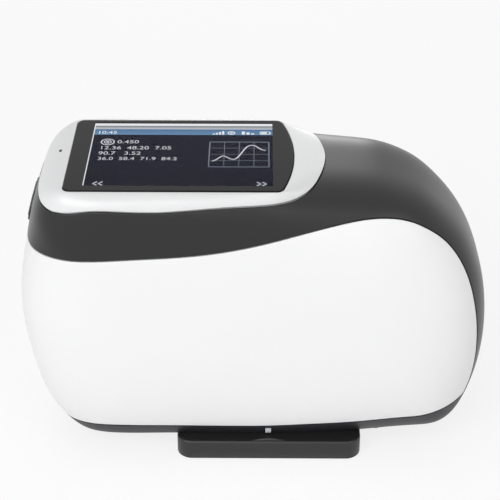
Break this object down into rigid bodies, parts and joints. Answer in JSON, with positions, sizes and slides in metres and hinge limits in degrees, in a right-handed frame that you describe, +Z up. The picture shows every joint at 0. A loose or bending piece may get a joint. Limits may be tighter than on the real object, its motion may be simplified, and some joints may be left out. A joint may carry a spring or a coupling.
{
  "type": "benchtop colorimeter",
  "caption": "Rounded desktop colour-measuring instrument with a flat touch screen on top and a measure key on its end, standing on a low calibration base with a white tile.",
  "frame": {"origin": "bottom centre of the bounding box: on the table, under the middle of the instrument", "axes": "+Z up, +X towards the socket end, -Y towards the user, +Y to the far side"},
  "size_m": [0.1801, 0.073, 0.1188],
  "materials": {
    "white_housing": "smooth white moulding, satin to gloss",
    "white_bezel": "gloss white moulding",
    "black_band": "satin black moulding",
    "grey_underside": "satin dark grey moulding",
    "screen_glass": "clear cover glass, black behind its border",
    "black_gasket": "thin foam tape",
    "display": "lit colour panel",
    "steel_sheet": "bare pressed sheet",
    "screw_steel": "plated screws",
    "clear_pipe": "clear light pipe",
    "key_plastic": "satin dark key",
    "black_component": "moulded component body",
    "circuit_board": "green solder mask",
    "socket_metal": "plated socket can",
    "brass_parts": "turned",
    "battery_wrap": "shrink wrap over cells",
    "sphere_white": "diffuse white",
    "black_anodised": "black anodised",
    "lamp_lens": "lamp domes",
    "lens_glass": "coated glass",
    "base_plastic": "satin black moulding",
    "white_ceramic": "glazed white tile",
    "rubber_pad": "non-slip pad",
    "mark_paint": "white index mark"
  },
  "bodies": {
    "base": {"calibration_base": "base_plastic", "white_tile": "white_ceramic", "tile_retainer": "black_anodised", "base_pad": "rubber_pad", "base_screws": "screw_steel"},
    "instrument": {"near_side_shell": "white_housing", "far_side_shell": "white_housing", "saddle_cover": "black_band", "bottom_cover": "grey_underside", "screen_bezel": "white_bezel", "touch_glass": "screen_glass", "glass_gasket": "black_gasket", "display_panel": "display", "display_bracket": "steel_sheet", "bezel_screws": "screw_steel", "status_light_pipe": "clear_pipe", "button_ring": "black_band", "measure_switch": "black_component", "button_board": "circuit_board", "socket_tray": "black_band", "usb_socket": "socket_metal", "power_socket": "black_component", "power_switch_body": "black_component", "connector_board": "circuit_board", "main_board": "circuit_board", "board_standoffs": "brass_parts", "board_screws": "screw_steel", "shield_can": "steel_sheet", "processor_chip": "black_component", "radio_module": "steel_sheet", "buzzer": "black_component", "board_headers": "black_component", "battery_tray": "grey_underside", "battery_pack": "battery_wrap", "sphere_lower": "sphere_white", "sphere_upper": "sphere_white", "sphere_screws": "screw_steel", "aperture_plate": "sphere_white", "aperture_screws": "screw_steel", "optics_deck": "black_anodised", "deck_screws": "screw_steel", "optics_columns": "brass_parts", "lamp_board": "circuit_board", "lamp_leds": "lamp_lens", "view_tube": "black_anodised", "objective_lens": "lens_glass", "spectrometer_housing": "black_anodised", "spectrometer_lid": "black_anodised", "entrance_slit": "steel_sheet", "grating": "lens_glass", "line_sensor": "black_component", "sensor_board": "circuit_board", "lamp_driver_board": "circuit_board", "port_mark": "mark_paint", "shell_screws": "screw_steel"},
    "measure_key": {"measure_button": "key_plastic"},
    "power_knob": {"power_switch_knob": "black_component"}
  },
  "joints": [
    {"name": "instrument_lift", "type": "slide", "parent": "base", "child": "instrument", "axis": [0, 0, 1], "range_m": [0, 0.06]},
    {"name": "measure_key_press", "type": "slide", "parent": "instrument", "child": "measure_key", "axis": [0.9659, 0, -0.2588], "range_m": [0, 0.0012], "stiffness_N_per_m": 900},
    {"name": "power_knob_slide", "type": "slide", "parent": "instrument", "child": "power_knob", "axis": [0, 1, 0], "range_m": [0, 0.003]}
  ]
}
